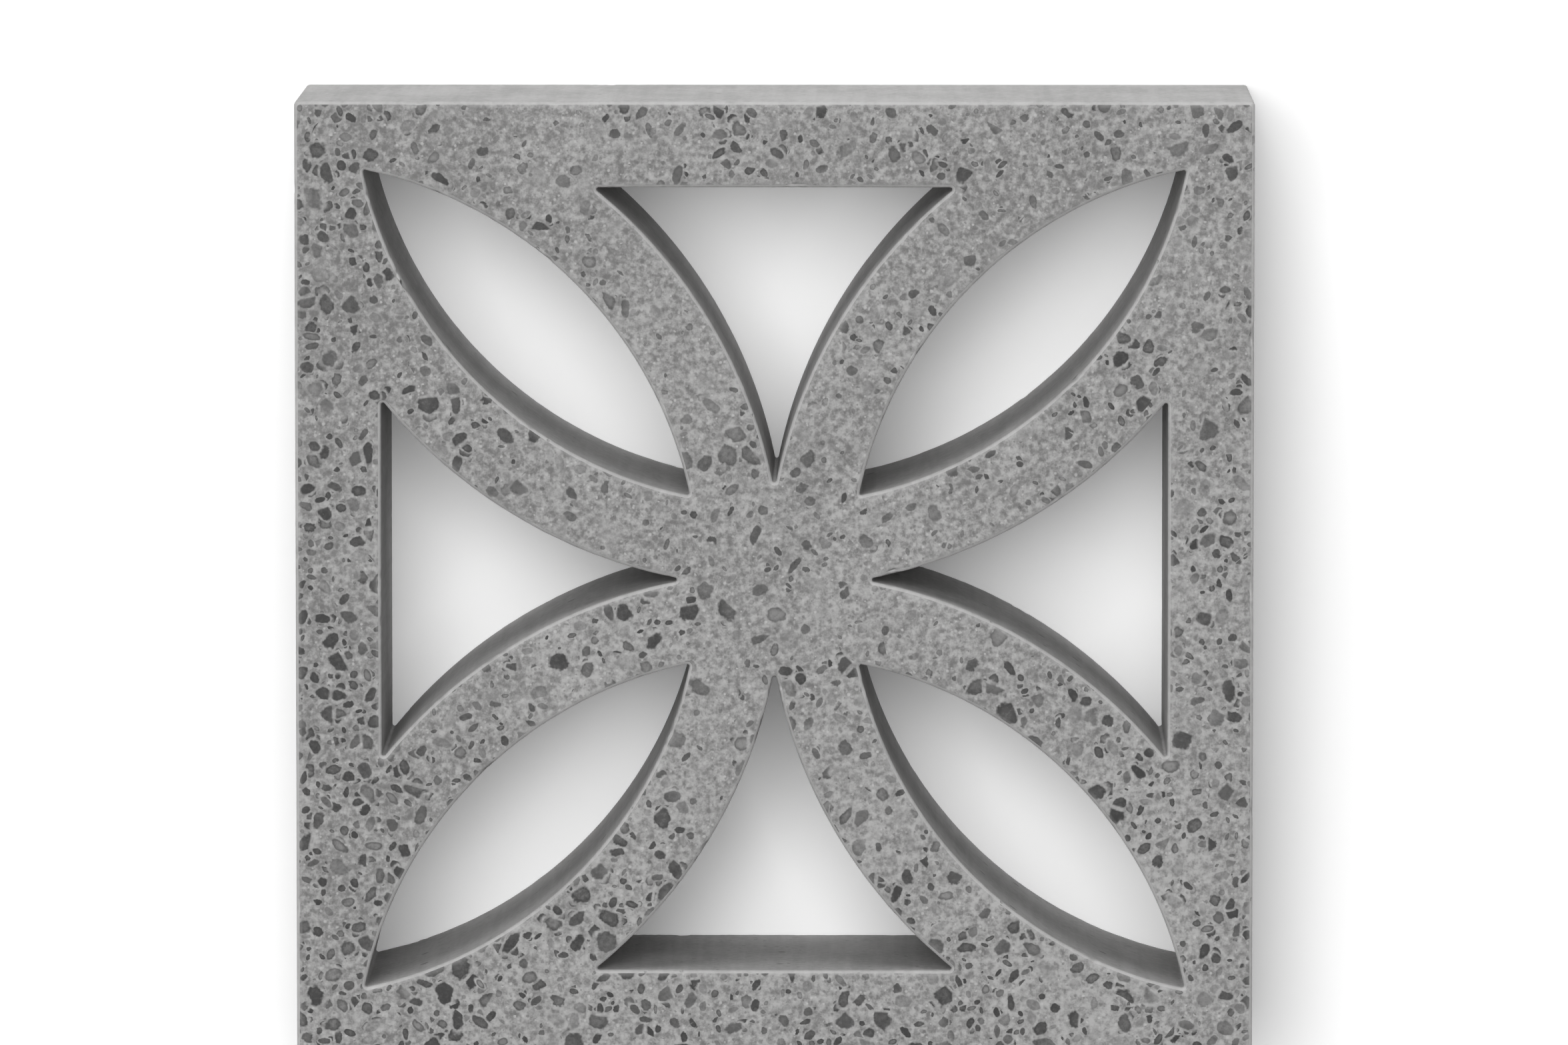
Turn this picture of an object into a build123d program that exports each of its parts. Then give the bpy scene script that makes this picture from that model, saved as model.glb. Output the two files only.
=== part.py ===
"""Pierced concrete screen block: one cast piece, in millimetres, with +Z up.

The block lies on its back with its honed face up. The square face carries a pattern of
interlaced rings. Each ring is centred on the middle of a mortar joint, so it runs on
through the next block of a wall. The rings leave four leaf-shaped openings on the
diagonals and four three-sided openings at the middles of the sides, all straight through.
"""

import os
from math import hypot

from build123d import *

# Block
face_side = 290  # width and height of the square face
thickness = 90  # from the back to the honed face
mortar_joint = 10  # joint that the block is laid with in a wall

# Pierced pattern
quarters = 4  # the pattern repeats every quarter turn about the block's middle
hub_reach = 27  # from the block's middle to where the two arcs of a side opening cross
ring_band = 25.4  # concrete between a leaf opening and a side opening
border = 26  # concrete between a side opening and the block's edge
core_corner = 0.6  # corner radius of the cores that form the openings

# Edges
arris = 1  # bevel along every edge of the face and the back, and at the four corners

# Rings, worked out from the module that the block is laid to
module = face_side + mortar_joint
ring_centre = module / 2
ring_outside = hypot(ring_centre, hub_reach)
ring_inside = ring_outside - ring_band
side_line = face_side / 2 - border

# Leaf opening: what lies inside two rings that meet at a corner of the block
with BuildSketch() as leaf_opening:
    with Locations((ring_centre, 0)):
        Circle(ring_inside)
    with Locations((0, ring_centre)):
        Circle(ring_inside, mode=Mode.INTERSECT)
    fillet(leaf_opening.vertices(), core_corner)

# Side opening: what two facing rings leave between them inside the border
with BuildSketch() as side_opening:
    with Locations((0, side_line / 2)):
        Rectangle(module, side_line)
    with Locations((-ring_centre, 0), (ring_centre, 0)):
        Circle(ring_outside, mode=Mode.SUBTRACT)
    fillet(side_opening.vertices(), core_corner)

# Block: the pierced section, as deep as the block, with every long edge bevelled
with BuildPart() as screen_block:
    with BuildSketch() as section:
        Rectangle(face_side, face_side)
        chamfer(section.vertices(), arris)
        with PolarLocations(0, quarters):
            add(leaf_opening.sketch, mode=Mode.SUBTRACT)
            add(side_opening.sketch, mode=Mode.SUBTRACT)
    extrude(amount=thickness)
    face_and_back = screen_block.faces().filter_by(Axis.Z)
    chamfer(face_and_back.edges(), arris)

os.makedirs("parts", exist_ok=True)
screen_block.part.label = "screen_block"
export_step(screen_block.part, "parts/screen_block.step")
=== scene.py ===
"""Dresses the pierced concrete screen block and sets it in a plain studio.

The block lies on its back. Its honed face shows dark stones in a grey matrix, its beds,
ends, openings and back keep the paler skin of the mould, and its arrises are scuffed and
chipped, with a pale line along them that is partly wear and partly painted highlight.
"""

import logging
import math
from dataclasses import dataclass, field
from enum import Enum

import bmesh
import bpy
from mathutils import Color, Matrix, Vector, noise

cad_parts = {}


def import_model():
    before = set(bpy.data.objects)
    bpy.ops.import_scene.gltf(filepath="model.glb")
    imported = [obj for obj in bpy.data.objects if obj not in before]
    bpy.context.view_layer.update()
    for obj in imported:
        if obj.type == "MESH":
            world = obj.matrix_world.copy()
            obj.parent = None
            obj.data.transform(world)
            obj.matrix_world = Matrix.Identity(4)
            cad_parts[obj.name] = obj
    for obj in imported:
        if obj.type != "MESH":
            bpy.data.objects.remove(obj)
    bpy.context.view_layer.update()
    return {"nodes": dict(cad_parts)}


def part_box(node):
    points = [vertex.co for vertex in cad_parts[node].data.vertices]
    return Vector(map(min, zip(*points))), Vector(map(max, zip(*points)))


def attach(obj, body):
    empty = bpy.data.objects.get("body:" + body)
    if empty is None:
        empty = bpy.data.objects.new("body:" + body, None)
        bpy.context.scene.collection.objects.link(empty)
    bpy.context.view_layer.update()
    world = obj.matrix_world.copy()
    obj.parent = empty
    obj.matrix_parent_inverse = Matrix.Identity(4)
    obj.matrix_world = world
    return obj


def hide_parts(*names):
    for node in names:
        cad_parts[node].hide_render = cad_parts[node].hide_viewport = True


NODE = "screen_block"
PIECE = "worn_screen_block"
# mask of the pale line along the arrises, which is partly wear and partly painted highlight
WORN_AND_HIGHLIGHT = "worn_and_highlight"
RIM = "rim"
UP = Vector((0, 0, 1))
MM = 0.001
PER_METRE = 1000
DISPLAY_WHITE = 255
WARMTH = 0.6  # display steps that red stands above green, and blue below it
NOISE_MIDDLE = 0.5

log = logging.getLogger("screen_block")

Socket = bpy.types.NodeSocket
Outputs = bpy.types.bpy_prop_collection
Value = float | tuple | Vector | Socket


def grey(level: float) -> tuple[float, float, float, float]:
    """Turns a display grey from 0 to 255, made a shade warm, into a linear colour."""
    shade = Color((level + WARMTH, level, level - WARMTH)) / DISPLAY_WHITE
    return *shade.from_srgb_to_scene_linear(), 1.0


@dataclass(frozen=True)
class Ramp:
    """A soft change of a value: first up to start, and last from end on."""

    start: float
    end: float
    first: float = 0.0
    last: float = 1.0


class NodeMaker:
    """Adds nodes to one tree and links them, so that a finish reads from top to bottom."""

    MIX_INPUTS = (0, 6, 7)  # the factor and the two colours of a Mix node
    MIX_RESULT = 2

    def __init__(self, tree: bpy.types.NodeTree) -> None:
        """Keeps the tree that the nodes go into."""
        self.tree = tree

    def put(self, socket: Socket, value: Value) -> None:
        """Links a socket into an input, or sets the input to a plain value.

        Args:
            socket: The input.
            value: A socket, or what the input is set to.
        """
        if isinstance(value, Socket):
            self.tree.links.new(value, socket)
        else:
            socket.default_value = value

    def node(self, kind: str, inputs: dict | None = None, **settings: object) -> bpy.types.Node:
        """Adds one node.

        Args:
            kind: The node's type name.
            inputs: Values or sockets by input name or number.
            **settings: Attributes of the node itself.

        Returns:
            The new node.
        """
        made = self.tree.nodes.new(kind)
        for name, value in settings.items():
            setattr(made, name, value)
        for name, value in (inputs or {}).items():
            self.put(made.inputs[name], value)
        return made

    def math(self, operation: str, *values: Value, clamp: bool = False) -> Socket:
        """Adds a Math node and returns its result."""
        inputs = dict(enumerate(values))
        return self.node("ShaderNodeMath", inputs, operation=operation, use_clamp=clamp).outputs[0]

    def spread(
        self, value: Value, low: Value, high: Value, to_low: Value = 0.0, to_high: Value = 1.0
    ) -> Socket:
        """Maps a range to another with a soft start and end.

        Args:
            value: What is mapped.
            low: The value that gives to_low.
            high: The value that gives to_high.
            to_low: The result at and below low.
            to_high: The result at and above high.

        Returns:
            The mapped value.
        """
        inputs = {0: value, 1: low, 2: high, 3: to_low, 4: to_high}
        return self.node("ShaderNodeMapRange", inputs, interpolation_type="SMOOTHSTEP").outputs[0]

    def ramp(self, value: Value, ramp: Ramp) -> Socket:
        """Maps a value by a ramp."""
        return self.spread(value, ramp.start, ramp.end, ramp.first, ramp.last)

    def noise(self, vector: Socket, scale: Value, detail: float = 2.0, roughness: float = 0.5) -> Socket:
        """Adds a Noise texture and returns its factor."""
        inputs = {"Vector": vector, "Scale": scale, "Detail": detail, "Roughness": roughness}
        return self.node("ShaderNodeTexNoise", inputs).outputs["Fac"]

    def axes(self, vector: Socket) -> Outputs:
        """Splits a vector into its X, Y and Z."""
        return self.node("ShaderNodeSeparateXYZ", {"Vector": vector}).outputs

    def chances(self, colour: Socket) -> Outputs:
        """Splits a cell's random colour into three random values."""
        return self.node("ShaderNodeSeparateColor", {"Color": colour}).outputs

    def moved(
        self, vector: Socket, scale: tuple = (1, 1, 1), turn: tuple = (0, 0, 0), shift: tuple = (0, 0, 0)
    ) -> Socket:
        """Scales, turns and shifts a texture's coordinates."""
        inputs = {"Vector": vector, "Scale": scale, "Rotation": turn, "Location": shift}
        return self.node("ShaderNodeMapping", inputs).outputs["Vector"]

    def blend(self, factor: Value, first: Value, second: Value) -> Socket:
        """Mixes two colours.

        Args:
            factor: 0 for the first colour, 1 for the second.
            first: The first colour.
            second: The second colour.

        Returns:
            The mixed colour.
        """
        inputs = dict(zip(self.MIX_INPUTS, (factor, first, second)))
        return self.node("ShaderNodeMix", inputs, data_type="RGBA").outputs[self.MIX_RESULT]

    def tint(self, mask: Value, share: Value, colour: Socket, level: float) -> Socket:
        """Turns a share of a colour to a display grey under a mask."""
        return self.blend(self.math("MULTIPLY", mask, share), colour, grey(level))

    def group(self, tree: bpy.types.NodeTree, **inputs: Value) -> Outputs:
        """Places a node group with its own values and returns its outputs."""
        return self.node("ShaderNodeGroup", inputs, node_tree=tree).outputs


class GroupMaker(NodeMaker):
    """A shader node group with named inputs and outputs."""

    def __init__(self, name: str, inputs: dict[str, str], outputs: dict[str, str]) -> None:
        """Makes the empty group.

        Args:
            name: The group's name.
            inputs: Socket types by input name.
            outputs: Socket types by output name.
        """
        super().__init__(bpy.data.node_groups.new(name, "ShaderNodeTree"))
        for way, sockets in (("INPUT", inputs), ("OUTPUT", outputs)):
            for title, kind in sockets.items():
                self.tree.interface.new_socket(title, in_out=way, socket_type=kind)
        self.given = self.node("NodeGroupInput").outputs
        self.result = self.node("NodeGroupOutput").inputs


@dataclass(frozen=True)
class StoneForm:
    """The shape of a stone: size and gap in shares of its grade's spacing, edge in shares of its outline."""

    scatter: float = 0.9
    least_half: float = 0.2
    half_swing: float = 0.27
    half_bias: float = 1.4
    least_slim: float = 1.05
    slim_swing: float = 1.3
    slim_bias: float = 1.3
    wobble_scale: float = 2.4
    wobble_detail: float = 2.0
    wobble_roughness: float = 0.6
    wall_wobble: float = 0.12
    gap: Ramp = Ramp(0.03, 0.12)
    wobble: float = 1.35
    edge: Ramp = Ramp(1.1, 0.82)
    middle: Ramp = Ramp(0.95, 0.3)
    near: Ramp = Ramp(1.6, 1.15)
    tone_turns: float = 37.0
    fade_turns: float = 91.0


@dataclass(frozen=True)
class NoiseLayer:
    """One layer of noise: its scale for each millimetre, its octaves and their roughness."""

    scale: float
    detail: float
    roughness: float = 0.6


class Effects:
    """The node groups that the finishes share."""

    VECTOR = "NodeSocketVector"
    FLOAT = "NodeSocketFloat"
    SCATTER_INPUTS = {"Vector": VECTOR, "Size": FLOAT, "Share": FLOAT}
    MATRIX_LAYERS = {
        "Patches": NoiseLayer(0.03, 2.0), "Clouds": NoiseLayer(0.42, 2.0), "Grain": NoiseLayer(0.95, 3.0),
    }
    HOLE_RADIUS = Ramp(0.0, 1.0, 0.06, 0.2)
    HOLE_FLOOR_SHARE = 0.6

    def __init__(self) -> None:
        """Builds each group once."""
        self.stones = self._stones(StoneForm())
        self.matrix = self._matrix()
        self.air_holes = self._air_holes()

    def _stones(self, form: StoneForm) -> bpy.types.NodeTree:
        """Rounded stones scattered over a level face, each with its own size, turn and slimness.

        Args:
            form: How the stones are shaped.

        Returns:
            The group: Mask is 1 on a stone, Middle rises from its rim to its middle, Near is 1
            on and around it, and Tone and Fade are two random values for each stone.
        """
        outputs = dict.fromkeys(("Mask", "Middle", "Near", "Tone", "Fade"), self.FLOAT)
        make = GroupMaker("rounded stones", self.SCATTER_INPUTS, outputs)
        vector, size = make.given["Vector"], make.given["Size"]
        scale = make.math("DIVIDE", 1.0, size)
        where = {"Vector": vector, "Scale": scale, "Randomness": form.scatter}
        cell = make.node("ShaderNodeTexVoronoi", where, voronoi_dimensions="2D", feature="F1").outputs
        wall = make.node(
            "ShaderNodeTexVoronoi", where, voronoi_dimensions="2D", feature="DISTANCE_TO_EDGE"
        ).outputs["Distance"]
        chance = make.chances(cell["Color"])
        luck = make.node("ShaderNodeTexWhiteNoise", {"Vector": cell["Color"]}).outputs["Value"]
        arm = make.node("ShaderNodeVectorMath", {0: vector, 1: cell["Position"]}, operation="SUBTRACT")
        turn = {"Vector": arm.outputs[0], "Angle": make.math("MULTIPLY", chance[0], math.tau)}
        axes = make.axes(make.node("ShaderNodeVectorRotate", turn, rotation_type="Z_AXIS").outputs[0])
        bulk = make.math("POWER", chance[1], form.half_bias)
        half = make.math("MULTIPLY", size, make.math("MULTIPLY_ADD", bulk, form.half_swing, form.least_half))
        slim = make.math("POWER", chance[2], form.slim_bias)
        slim = make.math("MULTIPLY_ADD", slim, form.slim_swing, form.least_slim)
        across = make.math("DIVIDE", axes["X"], half)
        along = make.math("DIVIDE", make.math("MULTIPLY", axes["Y"], slim), half)
        along_squared = make.math("MULTIPLY", along, along)
        outline = make.math("SQRT", make.math("MULTIPLY_ADD", across, across, along_squared))
        wobble = make.noise(
            vector, make.math("MULTIPLY", scale, form.wobble_scale), form.wobble_detail, form.wobble_roughness
        )
        wobble = make.math("SUBTRACT", wobble, NOISE_MIDDLE)
        reach = make.math("MULTIPLY_ADD", wobble, form.wobble, outline)
        present = make.math("LESS_THAN", luck, make.given["Share"])
        inside = make.math("MULTIPLY_ADD", wobble, form.wall_wobble, wall)
        apart = make.math("MULTIPLY", make.ramp(inside, form.gap), present)
        make.put(make.result["Mask"], make.math("MULTIPLY", make.ramp(reach, form.edge), apart))
        make.put(make.result["Middle"], make.ramp(reach, form.middle))
        make.put(make.result["Near"], make.math("MULTIPLY", make.ramp(reach, form.near), present))
        for name, turns in (("Tone", form.tone_turns), ("Fade", form.fade_turns)):
            make.put(make.result[name], make.math("FRACT", make.math("MULTIPLY", luck, turns)))
        return make.tree

    def _matrix(self) -> bpy.types.NodeTree:
        """Sand and cement paste: wide patches, small clouds and fine grain.

        Returns:
            The group: Patches, Clouds and Grain all vary around one half.
        """
        outputs = dict.fromkeys(self.MATRIX_LAYERS, self.FLOAT)
        make = GroupMaker("cement matrix", {"Vector": self.VECTOR}, outputs)
        for name, layer in self.MATRIX_LAYERS.items():
            level = make.noise(make.given["Vector"], layer.scale, layer.detail, layer.roughness)
            make.put(make.result[name], level)
        return make.tree

    def _air_holes(self) -> bpy.types.NodeTree:
        """Small air holes left in the paste.

        Returns:
            The group: Mask is 1 in a hole.
        """
        make = GroupMaker("air holes", self.SCATTER_INPUTS, {"Mask": self.FLOAT})
        where = {"Vector": make.given["Vector"], "Scale": make.math("DIVIDE", 1.0, make.given["Size"])}
        cell = make.node("ShaderNodeTexVoronoi", where, feature="F1").outputs
        chance = make.chances(cell["Color"])
        present = make.math("LESS_THAN", chance[0], make.given["Share"])
        radius = make.ramp(chance[1], self.HOLE_RADIUS)
        hole = make.spread(cell["Distance"], radius, make.math("MULTIPLY", radius, self.HOLE_FLOOR_SHARE))
        make.put(make.result["Mask"], make.math("MULTIPLY", hole, present))
        return make.tree


def empty_nodes(owner: bpy.types.Material | bpy.types.World) -> NodeMaker:
    """Clears the node tree of a material or world.

    Args:
        owner: The material or world.

    Returns:
        The maker of its nodes.
    """
    owner.use_nodes = True
    owner.node_tree.nodes.clear()
    return NodeMaker(owner.node_tree)


def start_material(name: str) -> tuple[bpy.types.Material, NodeMaker, Socket]:
    """Makes an empty material.

    Args:
        name: The material's name.

    Returns:
        The material, the maker of its nodes and the place on the object in millimetres.
    """
    material = bpy.data.materials.new(name)
    make = empty_nodes(material)
    place = make.node("ShaderNodeTexCoord").outputs["Object"]
    return material, make, make.moved(place, (PER_METRE,) * 3)


@dataclass(frozen=True)
class Surface:
    """What a finish's shader takes besides colour: specular level, and strength and depth of its bump."""

    specular: float
    bump: float
    depth: float

    def finish(self, make: NodeMaker, colour: Socket, roughness: Socket, relief: Socket) -> None:
        """Joins colour, roughness and relief in a Principled shader.

        Args:
            make: The maker of the material's nodes.
            colour: The surface colour.
            roughness: The surface roughness.
            relief: The height of the fine relief.
        """
        bump = make.node("ShaderNodeBump", {"Strength": self.bump, "Distance": self.depth, "Height": relief})
        inputs = {
            "Base Color": colour, "Roughness": roughness, "Normal": bump.outputs["Normal"],
            "Specular IOR Level": self.specular,
        }
        shader = make.node("ShaderNodeBsdfPrincipled", inputs)
        make.node("ShaderNodeOutputMaterial", {"Surface": shader.outputs["BSDF"]})


@dataclass(frozen=True)
class AirHoles:
    """One size of air hole: the spacing in millimetres, how many places hold one, and how far painted shade
    darkens it.
    """

    spacing: float
    share: float
    painted_shade: float


@dataclass(frozen=True)
class StoneGrade:
    """One grade of stone in the mix: its spacing in millimetres and how many places it fills."""

    spacing: float
    share: float
    shift: tuple[float, float, float]


@dataclass(frozen=True)
class Crowding:
    """How crowded the stones are over the face: fewest above its middle, most at the left and below."""

    base: float = 0.82
    sparse_place: tuple[float, float, float] = (5, 45, 90)
    outward: Ramp = Ramp(30.0, 200.0, 0.0, 0.48)
    leftward: Ramp = Ramp(-60.0, -140.0, 0.0, 0.42)
    downward: Ramp = Ramp(60.0, -140.0, 0.0, 0.22)
    drift_scale: float = 0.035
    drift_detail: float = 1.0
    drift: Ramp = Ramp(0.3, 0.7, -0.4, 0.4)

    def factor(self, make: NodeMaker, place: Socket) -> Socket:
        """Adds up the crowding at a place.

        Args:
            make: The maker of the material's nodes.
            place: The place on the object in millimetres.

        Returns:
            A factor around one.
        """
        axes = make.axes(place)
        away = make.node("ShaderNodeVectorMath", {0: place, 1: self.sparse_place}, operation="DISTANCE")
        total = make.ramp(make.noise(place, self.drift_scale, self.drift_detail), self.drift)
        total = make.math("ADD", total, self.base)
        total = make.math("ADD", total, make.ramp(away.outputs["Value"], self.outward))
        total = make.math("ADD", total, make.ramp(axes["X"], self.leftward))
        return make.math("ADD", total, make.ramp(axes["Y"], self.downward))


@dataclass(frozen=True)
class GroundMatrix:
    """What lies between the stones of the honed face: mottled cement with sand in it, in display greys."""

    dark: float = 112
    pale: float = 174
    cloud_share: float = 0.5
    grain_share: float = 0.38
    patch_share: float = 0.12
    mottle: Ramp = Ramp(0.34, 0.65)
    left_shade: Ramp = Ramp(-150.0, -50.0, -0.03, 0.0)
    # painted shade: the matrix darkens towards the upper bed and pales towards the lower one, making up for
    # the lamps lighting the upper part more
    upper_painted_shade: Ramp = Ramp(-140.0, 140.0, 0.013, -0.02)
    sand_spacing: float = 1.25
    sand_least: float = 0.25
    sand_swing: float = 0.35
    sand_core_share: float = 0.4
    dark_sand: float = 104
    dark_sand_chance: Ramp = Ramp(0.2, 0.04)
    dark_sand_share: float = 0.6
    pale_sand: float = 190
    pale_sand_chance: Ramp = Ramp(0.84, 1.0)
    pale_sand_share: float = 0.7

    def colour(self, make: NodeMaker, place: Socket, matrix: Outputs) -> Socket:
        """Mixes the cement and strews the sand.

        Args:
            make: The maker of the material's nodes.
            place: The place on the object in millimetres.
            matrix: The outputs of the cement matrix.

        Returns:
            The colour.
        """
        axes = make.axes(place)
        mottle = make.math("MULTIPLY", matrix["Grain"], self.grain_share)
        mottle = make.math("MULTIPLY_ADD", matrix["Clouds"], self.cloud_share, mottle)
        mottle = make.math("MULTIPLY_ADD", matrix["Patches"], self.patch_share, mottle)
        mottle = make.math("ADD", mottle, make.ramp(axes["X"], self.left_shade))
        # painted shade: darker towards the upper bed
        mottle = make.math("ADD", mottle, make.ramp(axes["Y"], self.upper_painted_shade))
        colour = make.blend(make.ramp(mottle, self.mottle), grey(self.dark), grey(self.pale))
        where = {"Vector": place, "Scale": 1 / self.sand_spacing}
        sand = make.node("ShaderNodeTexVoronoi", where, voronoi_dimensions="2D", feature="F1").outputs
        chance = make.chances(sand["Color"])
        radius = make.math("MULTIPLY_ADD", chance[2], self.sand_swing, self.sand_least)
        grain = make.spread(sand["Distance"], radius, make.math("MULTIPLY", radius, self.sand_core_share))
        dark = make.math("MULTIPLY", make.ramp(chance[0], self.dark_sand_chance), grain)
        pale = make.math("MULTIPLY", make.ramp(chance[0], self.pale_sand_chance), grain)
        colour = make.tint(dark, self.dark_sand_share, colour, self.dark_sand)
        return make.tint(pale, self.pale_sand_share, colour, self.pale_sand)


@dataclass(frozen=True)
class HonedFinish:
    """The ground face: dark stones flush with a grey matrix, in display greys."""

    crowding: Crowding = Crowding()
    matrix: GroundMatrix = GroundMatrix()
    grades: tuple[StoneGrade, ...] = (
        StoneGrade(7.8, 0.52, (0, 0, 0)),
        StoneGrade(5.4, 0.48, (31, 57, 0)),
        StoneGrade(3.3, 0.24, (83, 11, 0)),
    )
    stone_dark: float = 10
    stone_pale: float = 70
    heart_lift: float = 58
    heart_turns: float = 13.0
    heart_bias: float = 2.0
    tone_bias: float = 1.8
    vein_swing: float = 2.0
    halo: float = 160
    halo_share: float = 0.25
    strength: Ramp = Ramp(0.4, 1.4, 0.75, 1.0)
    full_slope: float = 0.5
    full_start: float = -0.2
    faint_span: float = 0.6
    faint_share: float = 0.25
    # small pits, darkened with painted shade
    pits: AirHoles = AirHoles(5.0, 0.25, 0.5)
    pit_turn: tuple[float, float, float] = (0, 0, 0.8)
    # the pale line along the arrises: partly wear, partly painted highlight
    rubbed_and_highlight: float = 176
    rubbed_and_highlight_share: float = 0.6
    roughness: Ramp = Ramp(0.0, 1.0, 0.78, 0.55)
    grain_relief: float = 0.25
    surface: Surface = Surface(specular=0.35, bump=0.5, depth=0.15 * MM)

    def _stone_colour(self, make: NodeMaker, stones: Outputs, grain: Socket) -> Socket:
        """The colour of a stone: a dark rim, often a paler heart, and veins.

        Args:
            make: The maker of the material's nodes.
            stones: The outputs of the rounded stones.
            grain: The grain of the cement matrix, which the veins follow.

        Returns:
            The colour.
        """
        veins = make.math("MULTIPLY", make.math("SUBTRACT", grain, NOISE_MIDDLE), self.vein_swing)
        tone = make.math("ADD", make.math("POWER", stones["Tone"], self.tone_bias), veins, clamp=True)
        rim = make.blend(tone, grey(self.stone_dark), grey(self.stone_pale))
        dark_heart = grey(self.stone_dark + self.heart_lift)
        heart = make.blend(tone, dark_heart, grey(self.stone_pale + self.heart_lift))
        chance = make.math("FRACT", make.math("MULTIPLY", stones["Tone"], self.heart_turns))
        opened = make.math("POWER", chance, self.heart_bias)
        return make.blend(make.math("MULTIPLY", stones["Middle"], opened), rim, heart)

    def _with_stones(
        self, make: NodeMaker, place: Socket, effects: Effects, matrix: Outputs, colour: Socket
    ) -> tuple[Socket, Socket]:
        """Beds the grades of stone in the matrix, the largest first.

        Args:
            make: The maker of the material's nodes.
            place: The place on the object in millimetres.
            effects: The shared node groups.
            matrix: The outputs of the cement matrix.
            colour: The colour between the stones.

        Returns:
            The colour with the stones in it, and a mask that is 1 on them.
        """
        crowding = self.crowding.factor(make, place)
        strength = make.ramp(crowding, self.strength)
        full = make.math("MULTIPLY_ADD", crowding, self.full_slope, self.full_start)
        faint = make.math("ADD", full, self.faint_span)
        free: Value = 1.0
        cover: Value = 0.0
        for grade in self.grades:
            share = make.math("MULTIPLY", crowding, grade.share)
            shifted = make.moved(place, shift=grade.shift)
            stones = make.group(effects.stones, Vector=shifted, Size=grade.spacing, Share=share)
            mask = make.math("MULTIPLY", stones["Mask"], free)
            shown = make.spread(stones["Fade"], full, faint, 1.0, self.faint_share)
            shown = make.math("MULTIPLY", mask, make.math("MULTIPLY", strength, shown))
            around = make.math("MULTIPLY", stones["Near"], free)
            colour = make.tint(around, self.halo_share, colour, self.halo)
            colour = make.blend(shown, colour, self._stone_colour(make, stones, matrix["Grain"]))
            free = make.math("MULTIPLY", free, make.math("SUBTRACT", 1.0, stones["Near"]))
            cover = make.math("MAXIMUM", cover, mask)
        return colour, cover

    def material(self, effects: Effects) -> bpy.types.Material:
        """Builds the honed material.

        Args:
            effects: The shared node groups.

        Returns:
            The material.
        """
        material, make, place = start_material("honed concrete")
        matrix = make.group(effects.matrix, Vector=place)
        colour = self.matrix.colour(make, place, matrix)
        colour, cover = self._with_stones(make, place, effects, matrix, colour)
        turned = make.moved(place, turn=self.pit_turn)
        holes = make.group(effects.air_holes, Vector=turned, Size=self.pits.spacing, Share=self.pits.share)
        # painted shade: the pits are darkened towards the pale stone grey
        colour = make.tint(holes["Mask"], self.pits.painted_shade, colour, self.stone_pale)
        # pales the arrises: partly wear, partly painted highlight
        worn_and_highlight = make.node("ShaderNodeAttribute", attribute_name=WORN_AND_HIGHLIGHT).outputs["Fac"]
        colour = make.tint(worn_and_highlight, self.rubbed_and_highlight_share, colour, self.rubbed_and_highlight)
        relief = make.math("MULTIPLY", matrix["Grain"], self.grain_relief)
        relief = make.math("SUBTRACT", relief, holes["Mask"])
        self.surface.finish(make, colour, make.ramp(cover, self.roughness), relief)
        return material


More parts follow.
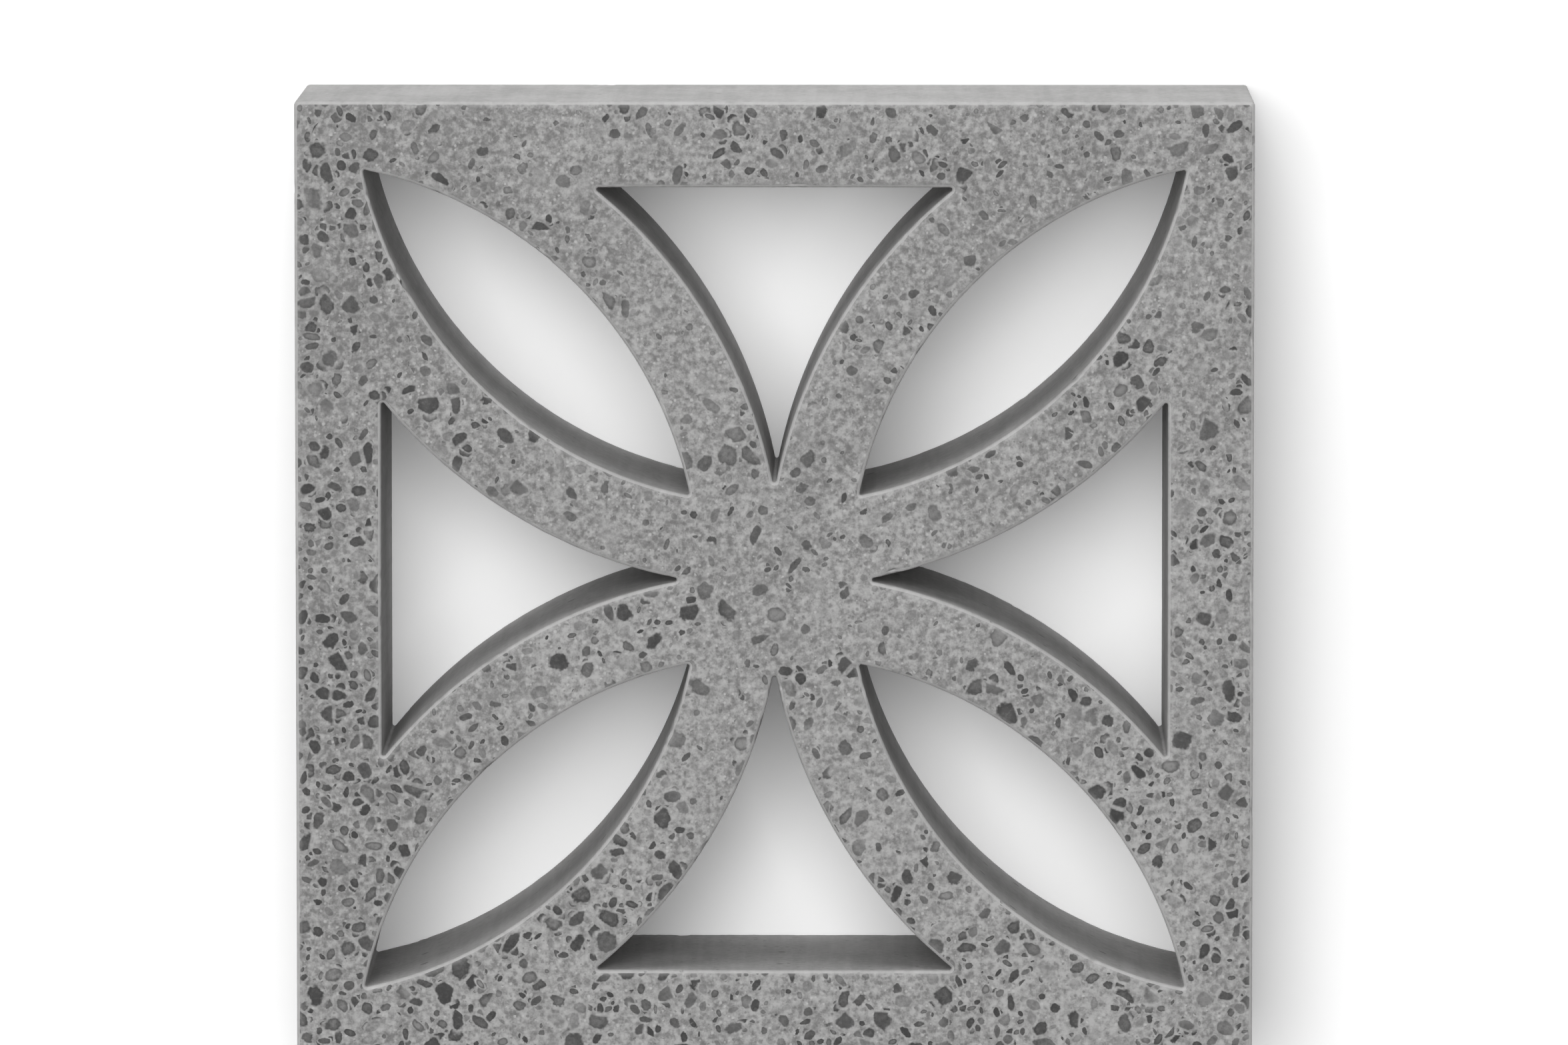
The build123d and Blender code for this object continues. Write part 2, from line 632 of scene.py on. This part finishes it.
@dataclass(frozen=True)
class MouldedFinish:
    """The skin that the mould leaves on beds, ends, openings and back, in display greys."""

    skin: float = 175
    cloud_share: float = 0.5
    cloud_swing: float = 16
    clouds: Ramp = Ramp(0.35, 0.65)
    drag_swing: float = 11
    drags: Ramp = Ramp(0.3, 0.7)
    drag_scales: tuple[float, float, float] = (0.28, 0.28, 0.01)
    drag_layer: NoiseLayer = NoiseLayer(1.0, 3.0)
    drag_share: float = 0.4
    holes: tuple[AirHoles, ...] = (AirHoles(9.0, 0.24, 0.65), AirHoles(3.6, 0.26, 0.45))
    # the grey of the painted shade in the air holes
    hole: float = 108
    # the pale line along the arrises: partly wear, partly painted highlight
    rubbed_and_highlight: float = 190
    rubbed_and_highlight_shares: Ramp = Ramp(0.3, 0.7, 0.5, 1.0)
    roughness: Ramp = Ramp(0.2, 0.8, 0.78, 0.92)
    grain_relief: float = 0.6
    drag_relief: float = 0.3
    hole_relief: float = 1.5
    surface: Surface = Surface(specular=0.3, bump=0.6, depth=0.3 * MM)

    def _shades(self, make: NodeMaker, level: Socket, swing: float) -> Socket:
        """The skin's colour, darkened and lightened by a swing."""
        return make.blend(level, grey(self.skin - swing), grey(self.skin + swing))

    def material(self, effects: Effects) -> bpy.types.Material:
        """Builds the moulded material.

        Args:
            effects: The shared node groups.

        Returns:
            The material.
        """
        material, make, place = start_material("moulded concrete")
        matrix = make.group(effects.matrix, Vector=place)
        clouds = make.math("ADD", matrix["Patches"], matrix["Clouds"])
        clouds = make.math("MULTIPLY", clouds, self.cloud_share)
        layer = self.drag_layer
        drawn = make.moved(place, self.drag_scales)
        drags = make.noise(drawn, layer.scale, layer.detail, layer.roughness)
        cloudy = self._shades(make, make.ramp(clouds, self.clouds), self.cloud_swing)
        lined = self._shades(make, make.ramp(drags, self.drags), self.drag_swing)
        colour = make.blend(self.drag_share, cloudy, lined)
        sunk: Value = 0.0
        for size in self.holes:
            mask = make.group(effects.air_holes, Vector=place, Size=size.spacing, Share=size.share)["Mask"]
            # painted shade in the air holes
            colour = make.tint(mask, size.painted_shade, colour, self.hole)
            sunk = make.math("MAXIMUM", sunk, mask)
        # pales the arrises: partly wear, partly painted highlight
        worn_and_highlight = make.node("ShaderNodeAttribute", attribute_name=WORN_AND_HIGHLIGHT).outputs["Fac"]
        colour = make.tint(worn_and_highlight, make.ramp(matrix["Grain"], self.rubbed_and_highlight_shares), colour, self.rubbed_and_highlight)
        relief = make.math("MULTIPLY", matrix["Grain"], self.grain_relief)
        relief = make.math("MULTIPLY_ADD", drags, self.drag_relief, relief)
        relief = make.math("SUBTRACT", relief, make.math("MULTIPLY", sunk, self.hole_relief))
        self.surface.finish(make, colour, make.ramp(matrix["Grain"], self.roughness), relief)
        return material


class Skin(Enum):
    """Which finish a face of the block has, by material slot."""

    MOULDED = 0
    HONED = 1


def add_object(name: str, bm: bmesh.types.BMesh) -> bpy.types.Object:
    """Turns a finished bmesh into an object of the scene, at the origin.

    Args:
        name: The object's and its mesh's name.
        bm: The finished bmesh, which is freed.

    Returns:
        The object.
    """
    mesh = bpy.data.meshes.new(name)
    bm.to_mesh(mesh)
    bm.free()
    made = bpy.data.objects.new(name, mesh)
    bpy.context.scene.collection.objects.link(made)
    return made


@dataclass(frozen=True)
class Move:
    """One stretch of an outline: a turn about a centre, or a straight run."""

    steps: int
    centre: Vector = Vector((0, 0, 0))
    angle: float = 0.0
    along: Vector = Vector((0, 0, 0))


@dataclass(frozen=True)
class Wear:
    """How the arrises are scuffed and chipped, in metres, with noise scales for each millimetre, and how pale
    they turn: partly wear, partly painted highlight.
    """

    rub: float = 0.25 * MM
    rub_reach: float = 2.4 * MM
    rub_middle: float = 0.6
    rub_scale: float = 0.21
    rub_swing: float = 0.5
    scuff_scale: float = 0.8
    scuff_swing: float = 0.35
    chip: float = 1.1 * MM
    chip_reach: float = 3.4 * MM
    chip_scale: float = 0.085
    chip_shift: Vector = Vector((7, 3, 1))
    ragged_scale: float = 0.5
    ragged_swing: float = 0.35
    chip_start: float = 0.42
    chip_span: float = 0.4
    chip_pale_share: float = 0.15

    @staticmethod
    def _falloff(distance: float, reach: float) -> float:
        """Falls softly from 1 at no distance to 0 at the reach."""
        return max(1 - (distance / reach) ** 2, 0) ** 2

    def at(self, place: Vector, distance: float) -> tuple[float, float]:
        """Finds the wear at a point near an arris.

        Args:
            place: The point in millimetres.
            distance: How far it lies from its arris, in metres.

        Returns:
            How deep the surface is scuffed or chipped away in metres, and how pale it turns from 0 to 1,
            which is partly wear and partly painted highlight.
        """
        rub = self.rub_middle + self.rub_swing * noise.noise(place * self.rub_scale)
        rub += self.scuff_swing * noise.noise(place * self.scuff_scale)
        rub = max(rub, 0) * self.rub * self._falloff(distance, self.rub_reach)
        spot = noise.noise(place * self.chip_scale + self.chip_shift)
        spot += self.ragged_swing * noise.noise(place * self.ragged_scale)
        chip = min(max(spot - self.chip_start, 0) / self.chip_span, 1)
        chip *= self.chip * self._falloff(distance, self.chip_reach)
        return rub + chip, min((rub + chip * self.chip_pale_share) / self.rub, 1)


@dataclass
class ScreenBlock:
    """The pierced block, with its sizes in metres."""

    face_side: float
    thickness: float
    mortar_joint: float = 10 * MM
    hub_reach: float = 27 * MM
    ring_band: float = 25.4 * MM
    border: float = 26 * MM
    core_corner: float = 0.6 * MM
    arris: float = 1 * MM
    arris_shares: tuple[tuple[float, float], ...] = ((1.15, 0.0), (0.85, 0.1), (0.1, 0.85), (0.0, 1.15))
    honed_arris_share: float = 0.25
    face_rows: tuple[float, float] = (3.5 * MM, 2 * MM)
    wall_row_shares: tuple[float, ...] = (0.017, 0.045, 0.12, 0.26, 0.5, 0.74, 0.88, 0.955, 0.983)
    edge_step: float = 1.1 * MM
    corner_steps: int = 6
    end_arris_steps: int = 2
    quarters: int = 4
    weld: float = 0.01 * MM
    wear: Wear = Wear()
    half: float = field(init=False)
    ring_centre: float = field(init=False)
    ring_outside: float = field(init=False)
    ring_inside: float = field(init=False)
    side_line: float = field(init=False)

    def __post_init__(self) -> None:
        """Works out the rings from the module that the block is laid to."""
        self.half = self.face_side / 2
        self.ring_centre = (self.face_side + self.mortar_joint) / 2
        self.ring_outside = math.hypot(self.ring_centre, self.hub_reach)
        self.ring_inside = self.ring_outside - self.ring_band
        self.side_line = self.half - self.border

    def _section(self) -> list[tuple[float, float]]:
        """The cut through a rim: from the face over the arris, down the wall and out along the back.

        Returns:
            Pairs of how far into the concrete and how high.
        """
        rim = [(reach, 0.0) for reach in self.face_rows]
        rim += [(self.arris * into, self.arris * down) for into, down in self.arris_shares]
        upper = [(into, self.thickness - down) for into, down in rim]
        wall = self.thickness - 2 * self.arris
        between = [(0.0, self.thickness - self.arris - wall * share) for share in self.wall_row_shares]
        return upper + between + rim[::-1]

    def _rim_distance(self, into: float, height: float) -> float:
        """How far a point of the section lies from its arris."""
        return math.hypot(into, min(height, self.thickness - height))

    def _sweep(self, bm: bmesh.types.BMesh, start: Vector, into: Vector, moves: list[Move]) -> None:
        """Carries the section round one opening.

        Args:
            bm: The mesh that is built.
            start: Where the outline starts, on the wall.
            into: The level direction from the wall into the concrete.
            moves: The stretches of the outline.
        """
        rim = bm.verts.layers.float.new(RIM)
        verts = []
        for depth, height in self._section():
            verts.append(bm.verts.new(start + into * depth + UP * height))
            verts[-1][rim] = self._rim_distance(depth, height)
        section = verts + [bm.edges.new(pair) for pair in zip(verts, verts[1:])]
        for move in moves:
            made = bmesh.ops.spin(
                bm, geom=section, cent=move.centre, axis=UP, angle=move.angle,
                dvec=move.along / move.steps, steps=move.steps,
            )
            section = made["geom_last"]

    def _turn(self, centre: Vector, first: Vector, last: Vector, way: int, radius: float = 0.0) -> Move:
        """A turn about a centre.

        Args:
            centre: What the outline turns about.
            first: The direction from the centre at the start.
            last: The direction from the centre at the end.
            way: 1 against the clock, -1 with it.
            radius: The arc's radius, or 0 for a corner.

        Returns:
            The move.
        """
        angle = math.atan2(last.y, last.x) - math.atan2(first.y, first.x)
        angle = way * ((way * angle) % math.tau)
        steps = round(abs(angle) * radius / self.edge_step) if radius else self.corner_steps
        return Move(steps, centre=centre, angle=angle)

    def _leaf(self, bm: bmesh.types.BMesh) -> None:
        """Sweeps the upper right leaf opening, bounded by the insides of two rings.

        Args:
            bm: The mesh that is built.
        """
        reach = self.ring_inside - self.core_corner
        spread = math.sqrt(2 * reach**2 - self.ring_centre**2)
        right = Vector((self.ring_centre, 0, 0))
        upper = Vector((0, self.ring_centre, 0))
        near, far = (Vector((1, 1, 0)) * (self.ring_centre + sign * spread) / 2 for sign in (-1, 1))
        into = (near - right).normalized()
        self._sweep(bm, right + into * self.ring_inside, into, [
            self._turn(right, near - right, far - right, -1, self.ring_inside),
            self._turn(far, far - right, far - upper, -1),
            self._turn(upper, far - upper, near - upper, -1, self.ring_inside),
            self._turn(near, near - upper, near - right, -1),
        ])

    def _side_opening(self, bm: bmesh.types.BMesh) -> None:
        """Sweeps the upper three-sided opening, left between two rings and the border.

        Args:
            bm: The mesh that is built.
        """
        reach = self.ring_outside + self.core_corner
        base = self.side_line - self.core_corner
        point = Vector((0, math.sqrt(reach**2 - self.ring_centre**2), 0))
        corner = self.ring_centre - math.sqrt(reach**2 - base**2)
        left_corner = Vector((-corner, base, 0))
        right_corner = Vector((corner, base, 0))
        left = Vector((-self.ring_centre, 0, 0))
        right = Vector((self.ring_centre, 0, 0))
        out = Vector((0, 1, 0))
        into = (left - point).normalized()
        run = right_corner - left_corner
        self._sweep(bm, left - into * self.ring_outside, into, [
            self._turn(left, point - left, left_corner - left, 1, self.ring_outside),
            self._turn(left_corner, left - left_corner, out, -1),
            Move(round(run.length / self.edge_step), along=run),
            self._turn(right_corner, out, right - right_corner, -1),
            self._turn(right, right_corner - right, point - right, 1, self.ring_outside),
            self._turn(point, right - point, left - point, -1),
        ])

    def _outside(self, bm: bmesh.types.BMesh) -> None:
        """Raises the beds and ends row by row from one square loop.

        Args:
            bm: The mesh that is built.
        """
        rim = bm.verts.layers.float.new(RIM)
        corners = bmesh.ops.create_grid(bm, x_segments=1, y_segments=1, size=self.half)["verts"]
        bmesh.ops.delete(bm, geom=list({f for v in corners for f in v.link_faces}), context="FACES_ONLY")
        bmesh.ops.bevel(
            bm, geom=corners, offset=self.arris, segments=self.end_arris_steps, profile=0.5,
            affect="VERTICES", material=-1,
        )
        long_edges = [e for e in bm.edges if not e.link_faces and e.calc_length() > self.half]
        bmesh.ops.subdivide_edges(bm, edges=long_edges, cuts=round(self.face_side / self.edge_step))
        loop = [e for e in bm.edges if not e.link_faces]
        verts = list({v for e in loop for v in e.verts})
        size = 1.0
        for row, (into, height) in enumerate(self._section()):
            if row:
                made = bmesh.ops.extrude_edge_only(bm, edges=loop)["geom"]
                verts = [g for g in made if isinstance(g, bmesh.types.BMVert)]
                loop = [g for g in made if isinstance(g, bmesh.types.BMEdge)]
            new_size = (self.half - into) / self.half
            change = new_size / size
            size = new_size
            bmesh.ops.scale(bm, vec=(change, change, 1), verts=verts)
            bmesh.ops.translate(bm, vec=UP * (height - verts[0].co.z), verts=verts)
            for vert in verts:
                vert[rim] = self._rim_distance(into, height)

    def _wear_arrises(self, bm: bmesh.types.BMesh) -> None:
        """Rubs every arris a little and breaks small chips out of it.

        Args:
            bm: The mesh that is built.
        """
        bm.normal_update()
        worn_and_highlight = bm.verts.layers.float.new(WORN_AND_HIGHLIGHT)
        rim = bm.verts.layers.float[RIM]
        for vert in bm.verts:
            if vert[rim] <= self.wear.chip_reach:
                # keeps how pale each point turns, partly wear and partly painted highlight
                depth, vert[worn_and_highlight] = self.wear.at(vert.co * PER_METRE, vert[rim])
                vert.co -= vert.normal * depth
        bm.verts.layers.float.remove(rim)

    def build(self) -> bpy.types.Object:
        """Builds the block's mesh.

        Returns:
            The block's object, at the origin.
        """
        bm = bmesh.new()
        parts = ((self._outside, 1), (self._leaf, self.quarters), (self._side_opening, self.quarters))
        for part, copies in parts:
            single = bmesh.new()
            part(single)
            mesh = bpy.data.meshes.new("part")
            single.to_mesh(mesh)
            single.free()
            for _ in range(copies):
                bm.from_mesh(mesh)
                mesh.transform(Matrix.Rotation(math.tau / self.quarters, 4, "Z"))
            bpy.data.meshes.remove(mesh)
        bmesh.ops.remove_doubles(bm, verts=bm.verts, dist=self.weld)
        for level in (self.thickness, 0.0):
            rim = [
                e for e in bm.edges
                if e.is_boundary and all(abs(v.co.z - level) < self.arris for v in e.verts)
            ]
            bmesh.ops.triangle_fill(bm, edges=rim, use_beauty=True, normal=UP)
        bmesh.ops.recalc_face_normals(bm, faces=bm.faces)
        honed_level = self.thickness - self.arris * self.honed_arris_share
        for face in bm.faces:
            face.smooth = True
            skin = Skin.HONED if face.calc_center_median().z > honed_level else Skin.MOULDED
            face.material_index = skin.value
        self._wear_arrises(bm)
        return add_object(PIECE, bm)

    def dress(self, block: bpy.types.Object, effects: Effects) -> None:
        """Gives the block its two finishes and ties it to the frame.

        Args:
            block: The block's object.
            effects: The shared node groups.
        """
        finishes = {Skin.MOULDED: MouldedFinish(), Skin.HONED: HonedFinish()}
        for skin in Skin:
            block.data.materials.append(finishes[skin].material(effects))
        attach(block, "root")
        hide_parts(NODE)


@dataclass(frozen=True)
class Lamp:
    """A square soft box, placed by where it stands over the block."""

    name: str
    place: tuple[float, float, float]
    side: float
    watts: float


@dataclass
class Studio:
    """Pale floor, soft light and the camera above the block."""

    face_height: float
    floor_side: float = 12.0
    floor_albedo: float = 0.9
    floor_seen: float = 1.0
    # camera-only glow of the floor, weaker near the block: painted shade on the floor around it and under its
    # openings
    floor_lift_with_painted_shade: Ramp = Ramp(0.15, 0.32, 0.09, 0.25)
    world_strength: float = 0.142
    world_seen: float = 1.0
    lamps: tuple[Lamp, ...] = (
        Lamp("overhead_box", (-0.2, 0.2, 3.93), 2.1, 46.0),
        Lamp("tilted_box", (-0.4, 1.03, 3.93), 1.85, 78.5),
        Lamp("low_box", (-0.45, 3.45, 1.61), 2.1, 29.0),
        Lamp("far_box", (-0.6, 4.4, 2.4), 2.8, 22.0),
    )
    frame_pixels: tuple[int, int] = (2352, 1568)
    pixels_per_mm: float = 4.959
    block_middle_pixel: tuple[float, float] = (1161.5, 871.0)
    camera_place: tuple[float, float, float] = (36 * MM, 385 * MM, 4090 * MM)
    sensor: float = 36.0

    @staticmethod
    def _seen(make: NodeMaker) -> Socket:
        """Makes a factor that is 1 for rays from the camera, or seen in gloss or glass, and otherwise 0.

        Args:
            make: The maker of the material's or world's nodes.

        Returns:
            The factor.
        """
        path = make.node("ShaderNodeLightPath").outputs
        gloss = make.math("MAXIMUM", path["Is Glossy Ray"], path["Is Transmission Ray"])
        return make.math("MAXIMUM", path["Is Camera Ray"], gloss)

    def _floor_material(self) -> bpy.types.Material:
        """Makes the floor's matt white, which is lifted a little where the camera sees it.

        Returns:
            The material.
        """
        material = bpy.data.materials.new("pale floor")
        make = empty_nodes(material)
        seen = self._seen(make)
        tone = make.spread(seen, 0.0, 1.0, self.floor_albedo, self.floor_seen)
        matt = make.node("ShaderNodeBsdfDiffuse", {"Color": tone}).outputs[0]
        place = make.node("ShaderNodeTexCoord").outputs["Object"]
        apart = make.node("ShaderNodeVectorMath", {0: place}, operation="LENGTH").outputs["Value"]
        # painted shade: the floor glows less near the block and inside its openings
        strength = make.math("MULTIPLY", seen, make.ramp(apart, self.floor_lift_with_painted_shade))
        lift_with_painted_shade = make.node("ShaderNodeEmission", {"Strength": strength}).outputs[0]
        both = make.node("ShaderNodeAddShader", {0: matt, 1: lift_with_painted_shade}).outputs[0]
        make.node("ShaderNodeOutputMaterial", {"Surface": both})
        return material

    def floor(self) -> bpy.types.Object:
        """Lays the floor, which looks white and still takes the block's shade.

        Returns:
            The floor's object.
        """
        bm = bmesh.new()
        bmesh.ops.create_grid(bm, x_segments=1, y_segments=1, size=self.floor_side / 2)
        floor = add_object("floor", bm)
        floor.data.materials.append(self._floor_material())
        return floor

    def light(self) -> None:
        """Sets the soft boxes and the white surround."""
        for lamp in self.lamps:
            data = bpy.data.lights.new(lamp.name, "AREA")
            data.size = lamp.side
            data.energy = lamp.watts
            box = bpy.data.objects.new(lamp.name, data)
            box.location = lamp.place
            aim = Vector((0, 0, self.face_height)) - box.location
            box.rotation_euler = aim.to_track_quat("-Z", "Y").to_euler()
            bpy.context.scene.collection.objects.link(box)
        world = bpy.data.worlds.new("studio")
        make = empty_nodes(world)
        strength = make.spread(self._seen(make), 0.0, 1.0, self.world_strength, self.world_seen)
        sky = make.node("ShaderNodeBackground", {"Color": (1, 1, 1, 1), "Strength": strength})
        make.node("ShaderNodeOutputWorld", {"Surface": sky.outputs[0]})
        bpy.context.scene.world = world

    def camera(self) -> None:
        """Hangs the camera over the block, a little towards its upper bed."""
        wide, high = self.frame_pixels
        across = (wide / 2 - self.block_middle_pixel[0]) / self.pixels_per_mm * MM
        along = (self.block_middle_pixel[1] - high / 2) / self.pixels_per_mm * MM
        place = Vector(self.camera_place)
        sight = place - Vector((across, along, self.face_height))
        back = sight.normalized()
        right = Vector((0, 1, 0)).cross(back).normalized()
        data = bpy.data.cameras.new("camera")
        data.sensor_width = self.sensor
        data.lens = self.pixels_per_mm / MM * sight.length / wide * self.sensor
        camera = bpy.data.objects.new("camera", data)
        turn = Matrix((right, back.cross(right), back)).transposed().to_4x4()
        camera.matrix_world = Matrix.Translation(place) @ turn
        bpy.context.scene.collection.objects.link(camera)
        bpy.context.scene.camera = camera


def main() -> None:
    """Builds the block and the studio."""
    logging.basicConfig(level=logging.INFO, format="%(name)s: %(message)s")
    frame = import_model()
    log.info("the frame holds %s", ", ".join(frame["nodes"]))
    low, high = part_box(NODE)
    block = ScreenBlock(face_side=high[0] - low[0], thickness=high[2] - low[2])
    piece = block.build()
    block.dress(piece, Effects())
    log.info("%s has %d faces", piece.name, len(piece.data.polygons))
    studio = Studio(face_height=high[2])
    log.info("%s laid", studio.floor().name)
    studio.light()
    studio.camera()
    bpy.context.scene.view_settings.view_transform = "Standard"


if __name__ == "__main__":
    main()
